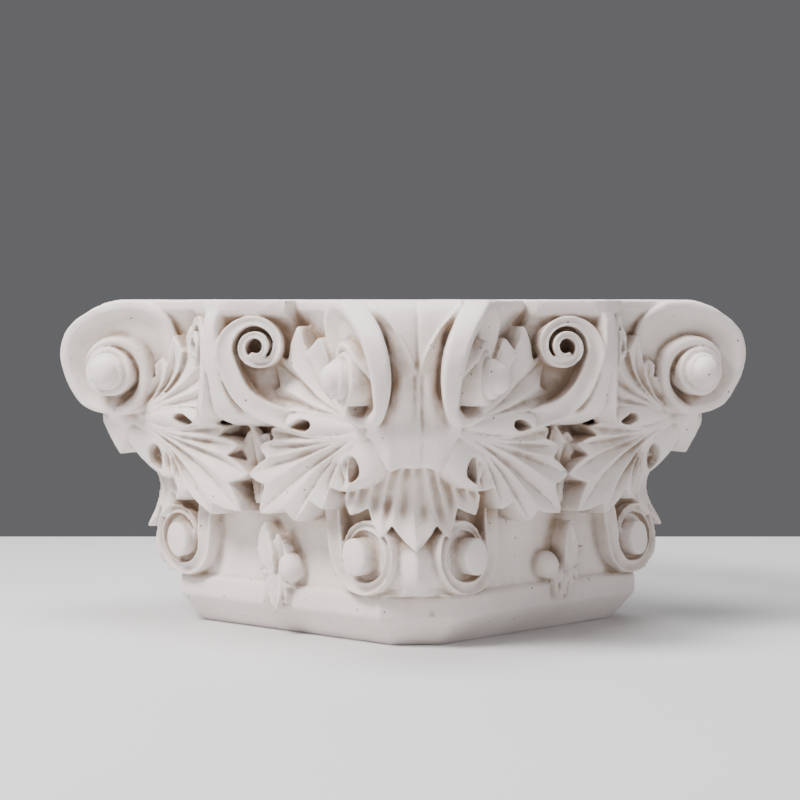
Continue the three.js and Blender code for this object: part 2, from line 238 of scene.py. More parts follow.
def volute():
    """Polar grid inside the rim. The rise is a rounded edge, a hollow face, and a coil band whose
    crest is half an ellipse between its inner and outer radius about the knob."""
    turn = np.linspace(0, 1, 181)[:-1]
    rim = through(WHEEL_RIM, turn)
    share = np.linspace(0, 1, 62)[:, None] ** 0.8
    u = WHEEL_MIDDLE[0] + share * (rim[:, 0] - WHEEL_MIDDLE[0])
    z = WHEEL_MIDDLE[1] + share * (rim[:, 1] - WHEEL_MIDDLE[1])
    inset = (1 - share) * np.hypot(rim[:, 0] - WHEEL_MIDDLE[0], rim[:, 1] - WHEEL_MIDDLE[1])
    ease = 3.5
    rounded = np.sqrt(np.maximum(ease**2 - np.maximum(ease - inset, 0) ** 2, 0)) - ease
    reach = np.hypot(u - KNOB[0], z - KNOB[1])
    angle = np.degrees(np.arctan2(z - KNOB[1], u - KNOB[0]))
    angle = np.where(angle < -60, angle + 360, angle)
    outer = along(RING_TURN, RING_OUTER, angle)
    inner = along(RING_TURN, RING_INNER, angle)
    across = (2 * reach - outer - inner) / (outer - inner)
    strength = step(-20, 45, angle) * (1 - step(235, 275, angle))
    crest = np.sqrt(np.maximum(1 - np.abs(across) ** 2.6, 0))
    rise = rounded - 7.5 * np.sin(0.5 * math.pi * np.clip((inset - 8) / 15, 0, 1))
    rise = rise - 2.0 * step(-0.6, -1.2, across) * strength + 12.5 * crest * strength
    front = wheel_xyz(u, z, rise)
    inside = 21 + 0.005 * (z - 235) ** 2
    ease = 4.0
    rounded = ease - np.sqrt(np.maximum(ease**2 - np.maximum(ease - inset, 0) ** 2, 0))
    back = corner_xyz(266 + 0.955 * u, inside + rounded, z)
    return closed_slab(front, back, wrap=True)


def knob():
    """Turned about the face's own axis: a drum, a stepped shoulder and a domed cap."""
    profile = [
        (0.5, -12), (22.5, -12), (22.5, 11.0), (21.3, 12.6), (16.4, 11.6), (16.8, 13.0),
        (16.9, 18.0), (16.0, 19.8), (13.2, 20.2), (13.0, 22.5), (11.6, 26.0), (8.4, 28.8),
        (4.5, 30.2), (0.5, 30.6),
    ]
    turn = np.linspace(0, 2 * math.pi, 61)[:-1]
    rings = []
    sine, cosine = math.sin(math.radians(20)), math.cos(math.radians(20))
    for radius, rise in profile:
        u = KNOB[0] + radius * np.cos(turn)
        z = KNOB[1] + radius * np.sin(turn)
        rings.append(corner_xyz(266 + u * cosine + rise * sine, 51 - u * sine + rise * cosine, z))
    return tube(rings)


# ---------------------------------------------------------------- acanthus


def leaf_fan(root, width, lobes, start, level, gouge, place, back, draft=1.5, rows=90, fine=15, rib=0.0):
    """A fan of lobes. Each ray is a quadratic curve from the root through a bend to the edge, and
    the edge runs tip, notch, tip with bowed sides. Between two notches the surface is a gouge,
    deepest at the vein; neighbouring gouges meet in a sharp ridge. Its depth follows how far
    apart the rays lie."""
    tips = np.array([lobe[0] for lobe in lobes], float)
    bends = np.array([lobe[1] for lobe in lobes], float)
    notches = np.array([start] + [lobe[2] for lobe in lobes], float)
    count = len(lobes)
    q = np.linspace(-0.5, count - 0.5, count * 2 * fine + 1)
    lobe = np.clip(np.floor(q + 0.5).astype(int), 0, count - 1)
    side = (q - lobe) * 2
    notch = np.where((side < 0)[:, None], notches[lobe], notches[lobe + 1])
    other = np.where((side < 0)[:, None], notches[lobe + 1], notches[lobe])
    w = 1 - np.abs(side)[:, None]
    edge = notch + (tips[lobe] - notch) * w
    run = tips[lobe] - notch
    bow = np.stack([-run[:, 1], run[:, 0]], -1)
    bow *= np.sign(np.sum(bow * (notch - other), -1))[:, None]
    edge = edge + 0.05 * bow * np.sin(math.pi * w)
    middle = through(np.vstack([bends[:1], bends, bends[-1:]]), (q + 1) / (count + 1))
    heading = tips.mean(0) - np.asarray(root)
    heading = np.array([-heading[1], heading[0]]) / np.hypot(*heading)
    heading *= np.sign(np.dot(heading, notches[-1] - notches[0]))
    base = np.asarray(root) + heading * (((q + 0.5) / count - 0.5) * width)[:, None]
    s = np.linspace(0, 1, rows)[:, None, None]
    flat = (1 - s) ** 2 * base + 2 * s * (1 - s) * middle + s * s * edge
    gap = np.linalg.norm(np.gradient(flat, axis=1), axis=-1) * 2 * fine
    s = s[..., 0]
    vein = np.abs(side)[None, :]
    depth = np.minimum(gouge, 0.36 * gap) * (1 - 0.55 * step(0.72, 1.0, s))
    cut = depth * (vein**1.35 - 1)
    cut = cut - np.minimum(2.4, 0.16 * gap) * hill(0.5 * vein * gap, 1.2)
    if rib:
        cut = depth * (np.abs(1 - 2 * np.clip(vein, 0, 1)) ** 1.5 - 1) * (1 - 0.35 * (vein < 0.5) * 0)
        cut = cut - (1 - rib) * depth * hill(vein, 0.35)
    first, last = flat[..., 0], flat[..., 1]
    height = level(first, last) + cut
    front = place(first, last, height)
    away = flat - np.asarray(root)
    away /= np.linalg.norm(away, axis=-1, keepdims=True) + 1e-6
    spread = flat + away * draft * step(0.4, 1.0, s)[..., None]
    rear = place(spread[..., 0], spread[..., 1], np.full(height.shape, back))
    return closed_slab(front, rear)


LEAF_ROOT = (162.0, 193.0)
UPPER_LOBES = [
    # tip, bend of its vein, notch after it
    ((117, 246), (121, 202), (105, 240)),
    ((95, 268), (101, 204), (80, 252)),
    ((69, 278), (96, 205), (56, 248)),
    ((36, 249), (92, 206), (45, 225)),
    ((29, 216), (92, 207), (58, 203)),
]
LOWER_LOBES = [
    ((29, 187), (88, 173), (38, 178)),
    ((13, 171), (92, 171), (27, 161)),
    ((0, 145), (92, 174), (24, 137)),
    ((12, 111), (98, 176), (46, 117)),
    ((54, 106), (104, 177), (79, 127)),
    ((91, 119), (106, 178), (101, 140)),
    ((112, 136), (110, 176), (122, 138)),
]


def leaf_level(y, z):
    """The leaf's own swell: proud at the upper eye and the top tips, low by the corner scroll."""
    return (
        205.5
        + 7 * hill(y - 82, 42) * hill(z - 194, 26)
        - 7 * hill(y - 124, 26) * hill(z - 150, 24)
        + 7 * hill(y - 80, 36) * hill(z - 276, 30)
        - 2.5 * hill(y - 60, 30) * step(125, 105, z)
    )


def drill(y, z, middle, wide, high, tail, depth):
    """How far a drilled eye goes in: an ellipse with one side drawn out to a point."""
    along_eye = (y - middle[0]) * tail[0] + (z - middle[1]) * tail[1]
    cross_eye = -(y - middle[0]) * tail[1] + (z - middle[1]) * tail[0]
    narrow = 1 - 0.45 * np.clip(along_eye / wide, 0, 1)
    away = np.hypot(along_eye / wide, cross_eye / (high * narrow))
    return depth * (1 - step(0.72, 1.12, away)), away


def upper_pipe():
    """The rolled fold above the middle of the leaf: half an ellipse across, drilled at its end."""
    a = np.linspace(0, 1, 110)[:, None]
    top = through([(56, 200), (66, 204), (95, 204.5), (128, 199), (161, 196)], a[:, 0])
    bottom = through([(53, 190), (64, 184), (92, 181.5), (128, 185), (161, 191)], a[:, 0])
    b = np.linspace(-1, 1, 45)
    flat = (top + bottom)[:, None] / 2 + (top - bottom)[:, None] / 2 * b[:, None]
    y, z = flat[..., 0], flat[..., 1]
    bulge = 13 * np.sqrt(1 - 0.99 * b**2) * step(-0.08, 0.14, a) * (1 - 0.55 * a)
    hole, away = drill(y, z, (76, 191.5), 12.0, 5.0, (-0.99, -0.12), 26)
    lip = 1.6 * hill(away - 1.3, 0.2) * step(0.45, 0.2, a)
    front = face_xyz(y, z, leaf_level(y, z) - 10 + 4 * a + bulge + lip - hole)
    return closed_slab(front, face_xyz(y, z, DEEP + 20))


def lower_pipe():
    """The rolled fold beside the corner fan, its mouth drilled and its far end under the skirt."""
    a = np.linspace(0, 1, 90)[:, None]
    top = through([(113, 150), (113, 166), (122, 176), (140, 184), (163, 192)], a[:, 0])
    bottom = through([(119, 138), (130, 139), (143, 146), (157, 158), (171, 174)], a[:, 0])
    b = np.linspace(-1, 1, 45)
    flat = (top + bottom)[:, None] / 2 + (top - bottom)[:, None] / 2 * b[:, None]
    y, z = flat[..., 0], flat[..., 1]
    bulge = 12 * np.sqrt(1 - 0.98 * b**2) * step(-0.12, 0.2, a) * (1 - 0.25 * a)
    hole, away = drill(y, z, (125, 154.5), 12.0, 9.5, (-0.45, -0.89), 24)
    lip = 2.0 * hill(away - 1.28, 0.2) * step(0.6, 0.35, a)
    front = face_xyz(y, z, leaf_level(y, z) - 9 + bulge + lip - hole)
    return closed_slab(front, face_xyz(y, z, DEEP + 20))


def big_leaf():
    upper = leaf_fan(
        LEAF_ROOT, 5, UPPER_LOBES, (122, 240), leaf_level, 6.5, face_xyz, DEEP + 20
    )
    lower = leaf_fan(
        (163, 190.5), 6, LOWER_LOBES, (52, 188), leaf_level, 6.5, face_xyz, DEEP + 20, draft=2
    )
    return [upper, lower, upper_pipe(), lower_pipe()]


# ---------------------------------------------------------------- corner leaf and fan


def corner_leaf():
    """The leaf between the volutes. Its middle line rolls over from the top. Two petals meet along
    the middle and part towards the top round a sunk panel; their outer sides fall away to the
    volutes, and below they flare into a skirt with paired fine ribs and concave panels."""
    v = np.linspace(-1, 1, 161)[None, :]
    t = np.linspace(0, 1, 190)[:, None]
    middle = through(
        [(258, 300), (272, 299), (285, 293), (291, 280), (292, 262), (289, 240), (285, 215),
         (284, 200), (284, 186), (278, 174), (269, 159)], t[:, 0]
    )
    level = middle[:, 1][:, None]
    hem = 26 * step(0.52, 1.0, np.abs(v)) - 3 * hill(np.abs(v) - 0.5, 0.12)
    z = level + hem * step(202, 160, level)
    half = along([160, 168, 184, 206, 230, 262, 288, 300], [40, 40, 39, 31, 28, 31, 37, 40], level)
    o = v * half
    split = along([236, 250, 265, 280, 292, 300], [0.5, 4, 11, 21, 31, 38], level)
    open_top = step(234, 246, level)
    past = np.abs(o + 1.5) - split
    petal_edge = 4.5 * hill(np.maximum(past, 0), 6) * open_top
    panel = (3.5 + 2.5 * hill(o + 1.5, 1.6)) * step(0.8, -1.2, past) * open_top
    low = 1 - open_top
    midrib = (1.6 * hill(o + 2.5, 1.1) - 2.2 * hill(np.abs(o + 2.5) - 3.2, 1.6)) * low
    folds = (3.0 * hill(np.abs(o) - 11, 5)) * step(196, 222, level) * low
    sunk = 17 * step(0.5, 0.92, np.abs(v)) * step(284, 266, level) * step(204, 226, level)
    curl = (3 + 5 * step(215, 190, level)) * v**2
    skirt = step(222, 192, level)
    ribs = np.minimum(np.abs(np.abs(v) - 0.5), np.abs(v)) * 38
    panels = 3.0 * np.sin(math.pi * np.clip(np.abs(v) * 2, 0, 2)) ** 2 * skirt
    lines = (1.5 * hill(ribs - 1.7, 0.9)) * skirt * step(160, 168, level)
    far = middle[:, 0][:, None] - sunk - curl + folds + petal_edge - panel + midrib - panels - lines
    front = corner_xyz(far, o, z)
    back = corner_xyz(np.full(far.shape, 215.0), o * 0.96, np.minimum(z, 296) + 4 * step(180, 160, level))
    return closed_slab(front, back)


FAN_LOBES = [
    ((-54, 115), (-44, 150), (-38, 122)),
    ((-29, 97), (-26, 146), (-19, 108)),
    ((0, 86), (0, 140), (19, 108)),
    ((29, 97), (26, 146), (38, 122)),
    ((54, 115), (44, 150), (58, 132)),
]


def corner_fan():
    """Five lobes under the skirt: down the corner they follow a hollow line that turns out at the
    tips, and sideways they wrap round it."""

    def profile(o, z):
        return along([85, 92, 106, 125, 143, 160, 180], [246, 243, 237, 233, 238, 247, 252], z)

    def wrap(o, z, far):
        return corner_xyz(far - 0.5 * (np.sqrt(o**2 + 18**2) - 18), o, z)

    return leaf_fan(
        (0, 182), 50, FAN_LOBES, (-58, 132), profile, 8.0, wrap, 200, draft=1, fine=18, rib=0.8
    )


def bolster():
    """The plain roll between the two lower scrolls of a corner, with a soft arris."""
    z = np.array([47, 50, 53, 60, 70, 80, 90, 98, 105])[:, None]
    r = np.array([214, 226, 232, 236.5, 238, 237, 233, 226, 214])[:, None]
    o = np.linspace(-30, 30, 31)[None, :]
    far = r - 0.62 * (np.sqrt(o**2 + 0.8**2) - 0.8) * (1 + 0 * z)
    return closed_slab(corner_xyz(far, o, z), corner_xyz(np.full(far.shape, 195.0), o, z))


# ---------------------------------------------------------------- scrolls


def band(path, half, lift, place, back, edge=2.2, hollow=3.2):
    """A ribbon carried along a path: raised edges, a hollow between them, square sides. The
    profile across it is a ring of points, so the ribbon is solid down to its back."""
    path = np.asarray(path, float)
    ahead = np.gradient(path, axis=0)
    ahead /= np.linalg.norm(ahead, axis=1, keepdims=True)
    side = np.stack([-ahead[:, 1], ahead[:, 0]], -1)
    across = np.array([-1, -1, -0.9, -0.72, -0.5, -0.25, 0, 0.25, 0.5, 0.72, 0.9, 1, 1])
    form = np.array([0, 0.4, 1, 0.75, 0.25, 0.05, 0, 0.05, 0.25, 0.75, 1, 0.4, 0])
    rings = []
    for k in range(len(across)):
        flat = path + side * (half * across[k])[:, None]
        if k in (0, len(across) - 1):
            height = np.full(len(path), float(back))
        else:
            height = lift - hollow + (hollow + edge * 0) * form[k]
        rings.append(place(flat[:, 0], flat[:, 1], height))
    return tube(np.stack(rings, 1))


PANEL_TURN = math.radians(32)
COIL = (38.0, 259.0)


def panel_xyz(s, z, rise):
    """A point on a console's side panel: s back from the front strip, rise off the panel."""
    sine, cosine = math.sin(PANEL_TURN), math.cos(PANEL_TURN)
    return face_xyz(7 + s * cosine + rise * sine, z, 250 - s * sine + rise * cosine)


def helix():
    """The ribbon climbs from behind the big leaf, turns over beside the front strip and coils in
    to a drilled eye. Its outer and inner edges are radii about the coil, given at a few turns."""
    turned = [0, 40, 75, 120, 180, 230, 280, 350, 420, 500, 590, 680]
    outer = [38.5, 33, 28.5, 25.5, 23.5, 21, 18, 16.5, 14.5, 12.6, 10.8, 9.5]
    inner = [21.5, 20.5, 19.5, 17.5, 15.5, 13.5, 11, 9.6, 8.4, 7.2, 6.2, 5.4]
    lift = [0, 0, 0, 0.5, 0.5, 1.0, 1.5, 2.5, 3.5, 4.5, 5.0, 5.0]
    tau = np.linspace(0, 680, 240)
    far, near = along(turned, outer, tau), along(turned, inner, tau)
    angle = np.radians(192 - tau)
    mid = (far + near) / 2
    coil = np.stack([COIL[0] + mid * np.cos(angle), COIL[1] + mid * np.sin(angle)], -1)
    stem = through([(74, 194), (58, 198), (38, 206), (21, 222), coil[0], coil[10]],
                   np.linspace(0, 0.8, 60)[:-1])
    path = np.concatenate([stem, coil])
    half = np.concatenate([np.linspace(9.5, (far[0] - near[0]) / 2, len(stem)), (far - near) / 2])
    rise = np.concatenate([np.linspace(-6, 0, len(stem)), along(turned, lift, tau)])
    return band(path, half, rise, panel_xyz, -26, hollow=2.6)


def console():
    """The bracket in the middle of each face: a narrow front strip that flares into a web below,
    and a sunk bed on each side behind the helix."""
    z = np.array([188, 191, 196, 200, 206, 214, 224, 234, 246, 262, 276, 283, 287, 291, 300.0])
    front = np.array([196, 208, 221, 229, 234, 238, 242, 246, 249.5, 250.5, 250.5, 250, 248, 246, 246])
    strip = np.array([20, 20, 18, 16, 13, 10.5, 8.6, 7.4, 7, 7, 7, 7, 7.5, 8.5, 9.5])
    bed = np.array([1, 2, 3, 5, 9, 18, 25, 28, 28, 26, 22, 14, 5, 1, 0.5])
    reach = np.array([8, 12, 18, 24, 30, 36, 42, 46, 52, 57, 58, 58, 58, 58, 58.0])
    sine, cosine = math.sin(PANEL_TURN), math.cos(PANEL_TURN)
    rings = []
    for k in range(len(z)):
        near = (front[k] - bed[k], strip[k] + 1.5)
        far = (front[k] - bed[k] - reach[k] * sine, strip[k] + 1.5 + reach[k] * cosine)
        half = [(front[k], 0.0), (front[k] - 0.3, strip[k] - 1.2), (front[k] - 1.5, strip[k]), near,
                far, (178, far[1])]
        ring = [(x, y, z[k]) for x, y in half] + [(x, -y, z[k]) for x, y in half[:0:-1]]
        rings.append(ring)
    return tube(rings)


SCROLL = (119.0, 79.0)


def scroll_xyz(y, z, x):
    return face_xyz(y, z, x)


def lower_scroll():
    """A ribbon falls from behind the big leaf, turns under and coils once about a flat button."""
    turned = [0, 45, 90, 135, 180, 225, 270, 315, 360, 400]
    outer = [42, 38, 33.5, 31.5, 32.5, 33, 31, 28, 25.5, 23.5]
    inner = [25.5, 24.5, 22, 22, 23.5, 24, 23, 21.5, 20, 19]
    tau = np.linspace(0, 400, 150)
    far, near = along(turned, outer, tau), along(turned, inner, tau)
    angle = np.radians(175 + tau)
    mid = (far + near) / 2
    coil = np.stack([SCROLL[0] + mid * np.cos(angle), SCROLL[1] + mid * np.sin(angle)], -1)
    stem = through([(78, 140), (81, 125), (83.5, 105), coil[0], coil[8]],
                   np.linspace(0, 0.75, 40)[:-1])
    path = np.concatenate([stem, coil])
    half = np.concatenate([np.linspace(9.2, (far[0] - near[0]) / 2, len(stem)), (far - near) / 2])
    rise = np.concatenate([np.linspace(180, 183, len(stem)), 183 - 2.5 * tau / 400])
    ribbon = band(path, half, rise, scroll_xyz, DEEP, hollow=4.2)
    turn = np.linspace(0, 2 * math.pi, 61)[:-1]
    profile = [(24, DEEP), (24, 174), (20, 176), (17.5, 175), (15.4, 175), (14.6, 178),
               (13.8, 187), (12.4, 190.4), (0.5, 191.4)]
    rings = []
    for radius, x in profile:
        wide, high = radius, radius * (1 + 0.3 * step(16, 12, np.array(radius)))
        shift = -5 * step(20, 14, np.array(radius))
        rings.append(face_xyz(SCROLL[0] + shift + wide * np.cos(turn),
                              SCROLL[1] + high * np.sin(turn), x))
    return [ribbon, tube(rings)]


# ---------------------------------------------------------------- middle of the face


def middle_leaf():
    """Rounded lobes between the tips of the big leaves, sunk behind them."""
    lobes = [
        ((-27, 163), (-12, 150), (-17, 172)),
        ((-10, 184), (-4, 150), (0, 178)),
        ((14, 182), (5, 150), (20, 170)),
        ((27, 160), (12, 148), (24, 146)),
    ]
    level = lambda y, z: 193 - 5 * step(170, 140, z)
    return leaf_fan((0, 118), 16, lobes, (-24, 146), level, 4, face_xyz, DEEP + 10, fine=10)


def thin_stem():
    """The tapered stalk under the console, from behind the scroll down to the middle leaf."""
    path = through([(-26, 203), (-14, 193), (-4, 184), (6, 172)], np.linspace(0, 1, 30))
    turn = np.linspace(0, 2 * math.pi, 13)[:-1]
    radius = np.linspace(3, 6, 30)
    rings = [
        face_xyz(path[k, 0] + radius[k] * np.cos(turn), path[k, 1] + 0 * turn,
                 188 + radius[k] * np.sin(turn))
        for k in range(30)
    ]
    return tube(rings)


def petal(foot, tip, half, lift, depth=3.0, bend=0.0, base=WALL):
    """A pointed petal: width follows a sine from foot to tip, hollow with a fine middle crease."""
    foot, tip = np.asarray(foot, float), np.asarray(tip, float)
    a = np.linspace(0.001, 0.999, 40)[:, None]
    b = np.linspace(-1, 1, 25)[None, :]
    run = tip - foot
    length = np.hypot(*run)
    side = np.array([-run[1], run[0]]) / length
    wide = half * np.sin(math.pi * a**0.8) ** 0.8
    y = foot[0] + run[0] * a + side[0] * (wide * b + bend * np.sin(math.pi * a))
    z = foot[1] + run[1] * a + side[1] * (wide * b + bend * np.sin(math.pi * a))
    x = lift + depth * (np.abs(b) ** 1.3 - 0.6) - 1.2 * hill(b * wide, 0.9) - 3 * step(0.3, 0, a)
    return closed_slab(face_xyz(y, z, x + 0 * a), face_xyz(y, z, np.full(y.shape, base - 8.0)))


def bud(middle, radius, x):
    """A round bud, a little flattened, with shallow segments."""
    theta = np.linspace(0.01, math.pi - 0.01, 30)[:, None]
    phi = np.linspace(0, 2 * math.pi, 49)[None, :-1]
    r = radius * (1 - 0.045 * np.abs(np.sin(2.5 * phi)) * np.sin(theta))
    ring = face_xyz(middle[0] + r * np.sin(theta) * np.cos(phi),
                    middle[1] + r * np.sin(theta) * np.sin(phi),
                    x + 0.9 * r * np.cos(theta))
    return tube(ring)


def left_flower():
    """The flower on the -Y and +Y faces: one tall petal, a bud beside it, torn petals below."""
    return [
        petal((3, 56), (-2, 101), 9.5, 184, bend=2),
        petal((8, 58), (10, 92), 8.0, 180, bend=-5),
        bud((22, 62), 13.5, 174),
        petal((2, 62), (-14, 58), 5.5, 181),
        petal((0, 68), (-10, 76), 4.5, 178),
        petal((4, 62), (-9, 26), 9.0, 179, bend=3, base=WALL + 4),
        petal((6, 62), (6, 22), 9.5, 181, base=WALL + 4),
        petal((8, 62), (18, 29), 8.5, 179, bend=-3, base=WALL + 4),
        petal((10, 58), (24, 44), 6.0, 179),
    ]


def right_flower():
    """The flower on the +X and -X faces: the tall petal leans the other way, the bud on its left."""
    return [
        petal((17, 56), (21, 101), 9.0, 185, bend=-1),
        bud((-3, 62), 13.0, 173),
        petal((20, 56), (44, 76), 5.5, 181, bend=2),
        petal((20, 52), (40, 62), 4.5, 178),
        petal((14, 60), (2, 44), 6.5, 179),
        petal((16, 58), (8, 28), 9.0, 178, base=WALL + 4),
        petal((18, 58), (24, 30), 9.0, 178, base=WALL + 4),
        petal((20, 56), (38, 44), 6.5, 178),
    ]


# ---------------------------------------------------------------- assembly


def turned(shell, quarter, mirrored=False):
    """A shell turned by quarters about the axis, first swapped over the diagonal if mirrored."""
    points, faces = shell
    if mirrored:
        points, faces = points[:, [1, 0, 2]], faces[:, ::-1]
    c, s = round(math.cos(quarter * math.pi / 2)), round(math.sin(quarter * math.pi / 2))
    x, y = points[:, 0], points[:, 1]
    return np.column_stack([x * c - y * s, x * s + y * c, points[:, 2]]), faces


def all_shells():
    half_corner = [volute(), knob(), *big_leaf(), *lower_scroll(), helix()]
    per_corner = [corner_leaf(), corner_fan(), bolster()]
    per_face = [console(), middle_leaf(), thin_stem()]
    flowers = [right_flower(), left_flower()]
    shells = [slab_and_bell(), abacus()]
    for quarter in range(4):
        for shell in half_corner:
            shells.append(turned(shell, quarter))
            shells.append(turned(shell, quarter, True))
        for shell in per_corner + per_face + flowers[quarter % 2]:
            shells.append(turned(shell, quarter))
    return shells


def make_mesh(name, points, faces):
    """A Blender mesh from an array of points in millimetres and one of triangles."""
    mesh = bpy.data.meshes.new(name)
    mesh.vertices.add(len(points))
    mesh.vertices.foreach_set("co", (points * MM).astype(np.float32).ravel())
    mesh.loops.add(faces.size)
    mesh.loops.foreach_set("vertex_index", faces.astype(np.int32).ravel())
    mesh.polygons.add(len(faces))
    mesh.polygons.foreach_set("loop_start", np.arange(0, faces.size, 3, dtype=np.int32))
    mesh.update(calc_edges=True)
    mesh.validate()
    return mesh


def applied(obj):
    """The mesh with the object's modifiers worked in, the modifiers gone."""
    depsgraph = bpy.context.evaluated_depsgraph_get()
    result = bpy.data.meshes.new_from_object(obj.evaluated_get(depsgraph))
    obj.modifiers.clear()
    old = obj.data
    obj.data = result
    bpy.data.meshes.remove(old)


def coordinates(mesh):
    points = np.empty(len(mesh.vertices) * 3, np.float32)
    mesh.vertices.foreach_get("co", points)
    return points.reshape(-1, 3).astype(float) / MM


def normals(mesh):
    values = np.empty(len(mesh.vertices) * 3, np.float32)
    mesh.vertex_normals.foreach_get("vector", values)
    return values.reshape(-1, 3).astype(float)


def edges(mesh):
    pairs = np.empty(len(mesh.edges) * 2, np.int32)
    mesh.edges.foreach_get("vertices", pairs)
    return pairs.reshape(-1, 2)


def averaged(values, pairs, count, passes, strength=1.0):
    """Each value drawn towards the mean of its neighbours, a number of times."""
    degree = np.maximum(np.bincount(pairs.ravel(), minlength=count), 1)
    values = values.copy()
    for _ in range(passes):
        for k in range(values.shape[1]):
            column = values[:, k]
            total = np.bincount(pairs[:, 0], column[pairs[:, 1]], count)
            total += np.bincount(pairs[:, 1], column[pairs[:, 0]], count)
            values[:, k] = column + strength * (total / degree - column)
    return values


def value_noise(points, size):
    """Seeded noise from -1 to 1: random numbers on a cubic lattice, eased between."""
    lattice = rng.uniform(-1, 1, (64, 64, 64))
    p = points / size + 1000.0
    i = np.floor(p).astype(int)
    f = p - i
    f = f * f * (3 - 2 * f)
    total = 0
    for dx in (0, 1):
        for dy in (0, 1):
            for dz in (0, 1):
                weight = (
                    (f[:, 0] if dx else 1 - f[:, 0])
                    * (f[:, 1] if dy else 1 - f[:, 1])
                    * (f[:, 2] if dz else 1 - f[:, 2])
                )
                total = total + weight * lattice[
                    (i[:, 0] + dx) % 64, (i[:, 1] + dy) % 64, (i[:, 2] + dz) % 64
                ]
    return total


def build_capital():
    points, faces, total = [], [], 0
    for shell_points, shell_faces in all_shells():
        points.append(shell_points)
        faces.append(shell_faces + total)
        total += len(shell_points)
    mesh = make_mesh("capital", np.concatenate(points), np.concatenate(faces))
    capital = bpy.data.objects.new("plaster_capital", mesh)
    bpy.context.scene.collection.objects.link(capital)
    remesh = capital.modifiers.new("one_casting", "REMESH")
    remesh.mode = "VOXEL"
    remesh.voxel_size = VOXEL * MM
    applied(capital)
    mesh = capital.data
    pairs, count = edges(mesh), len(mesh.vertices)
    print("voxel mesh", count, len(mesh.polygons))
    place = averaged(coordinates(mesh), pairs, count, 1, 0.4)
    mesh.vertices.foreach_set("co", (place * MM).astype(np.float32).ravel())
    mesh.update()
    out = normals(mesh)
    wear = 0.35 * value_noise(place, 23) + 0.22 * value_noise(place, 9) + 0.1 * value_noise(place, 4)
    floor_side = step(0.5, 3.0, place[:, 2])
    place[:, :2] += np.array(SLAB_SHIFT) * step(150, 40, place[:, 2])[:, None]
    place = place + out * (wear * floor_side)[:, None]
    scale = VOXEL / 1.05
    near = averaged(place, pairs, count, int(8 / scale**2) + 1)
    wide = averaged(near, pairs, count, int(60 / scale**2) + 4)
    hollow = np.sum((near - place) * out, 1) * 0.6 + np.sum((wide - place) * out, 1) * 0.35
    mesh.vertices.foreach_set("co", (place * MM).astype(np.float32).ravel())
    # The hollow attribute measures how sunk each point lies; the material paints shade from it.
    field = mesh.attributes.new("hollow", "FLOAT", "POINT")
    field.data.foreach_set("value", hollow.astype(np.float32))
    mesh.update()
    thin = capital.modifiers.new("thin_out", "DECIMATE")
    corners = sum(len(p.vertices) - 2 for p in mesh.polygons[:1000]) / 1000
    thin.ratio = min(1.0, TRIANGLES / (len(mesh.polygons) * corners))
    applied(capital)
    mesh = capital.data
    for polygon_smooth in (True,):
        mesh.polygons.foreach_set("use_smooth", np.full(len(mesh.polygons), polygon_smooth))
    mesh.update()
    print("finished mesh", len(mesh.vertices), len(mesh.polygons), [a.name for a in mesh.attributes])
    return capital


capital = build_capital()


# ---------------------------------------------------------------- plaster


def group(name, inputs, outputs):
    """A shader node group with float or colour inputs and outputs, and its two end nodes."""
    tree = bpy.data.node_groups.new(name, "ShaderNodeTree")
    for label, kind, value in inputs:
        socket = tree.interface.new_socket(name=label, in_out="INPUT", socket_type=kind)
        socket.default_value = value
    for label, kind in outputs:
        tree.interface.new_socket(name=label, in_out="OUTPUT", socket_type=kind)
    return tree, tree.nodes.new("NodeGroupInput"), tree.nodes.new("NodeGroupOutput")


def math_node(tree, operation, first, second):
    """A Math node of two values, each a socket or a number."""
    node = tree.nodes.new("ShaderNodeMath")
    node.operation = operation
    for socket, value in zip(node.inputs, (first, second)):
        if isinstance(value, (int, float)):
            socket.default_value = value
        else:
            tree.links.new(value, socket)
    return node.outputs[0]


def noise(tree, vector, scale, detail=3.0):
    """Noise at that scale per metre in Object coordinates."""
    node = tree.nodes.new("ShaderNodeTexNoise")
    node.inputs["Scale"].default_value = scale
    node.inputs["Detail"].default_value = detail
    tree.links.new(vector, node.inputs["Vector"])
    return node.outputs["Fac"]


def spread(tree, value, low, high):
    """The value mapped from low..high to 0..1 with soft ends."""
    node = tree.nodes.new("ShaderNodeMapRange")
    node.interpolation_type = "SMOOTHSTEP"
    tree.links.new(value, node.inputs["Value"])
    node.inputs["From Min"].default_value = low
    node.inputs["From Max"].default_value = high
    return node.outputs["Result"]


def painted_shade_group():
    """Painted shade mask: darker in hollows of the form and in tight corners, from ambient occlusion and the
    hollow attribute, broken up by noise.
    """
    tree, ins, outs = group(
        "painted_shade_in_hollows",
        [("Hollow", "NodeSocketFloat", 0.0), ("Vector", "NodeSocketVector", (0, 0, 0))],
        [("PaintedShade", "NodeSocketFloat")],
    )
    # Ambient occlusion finds the tight corners, which are then painted darker as shade.
    occlusion = tree.nodes.new("ShaderNodeAmbientOcclusion")
    occlusion.samples = 6
    occlusion.only_local = True
    occlusion.inputs["Distance"].default_value = 0.035
    shut = math_node(tree, "SUBTRACT", 1.0, occlusion.outputs["AO"])
    shut = spread(tree, shut, 0.12, 0.72)
    dip = spread(tree, ins.outputs["Hollow"], 0.08, 1.3)
    patchy = noise(tree, ins.outputs["Vector"], 38, 6)
    patchy = math_node(tree, "ADD", spread(tree, patchy, 0.3, 0.7), 0.45)
    both = math_node(tree, "ADD", math_node(tree, "MULTIPLY", dip, 0.55), math_node(tree, "MULTIPLY", shut, 0.75))
    painted_shade = math_node(tree, "MULTIPLY", both, patchy)
    tree.links.new(math_node(tree, "MINIMUM", painted_shade, 1.0), outs.inputs["PaintedShade"])
    return tree


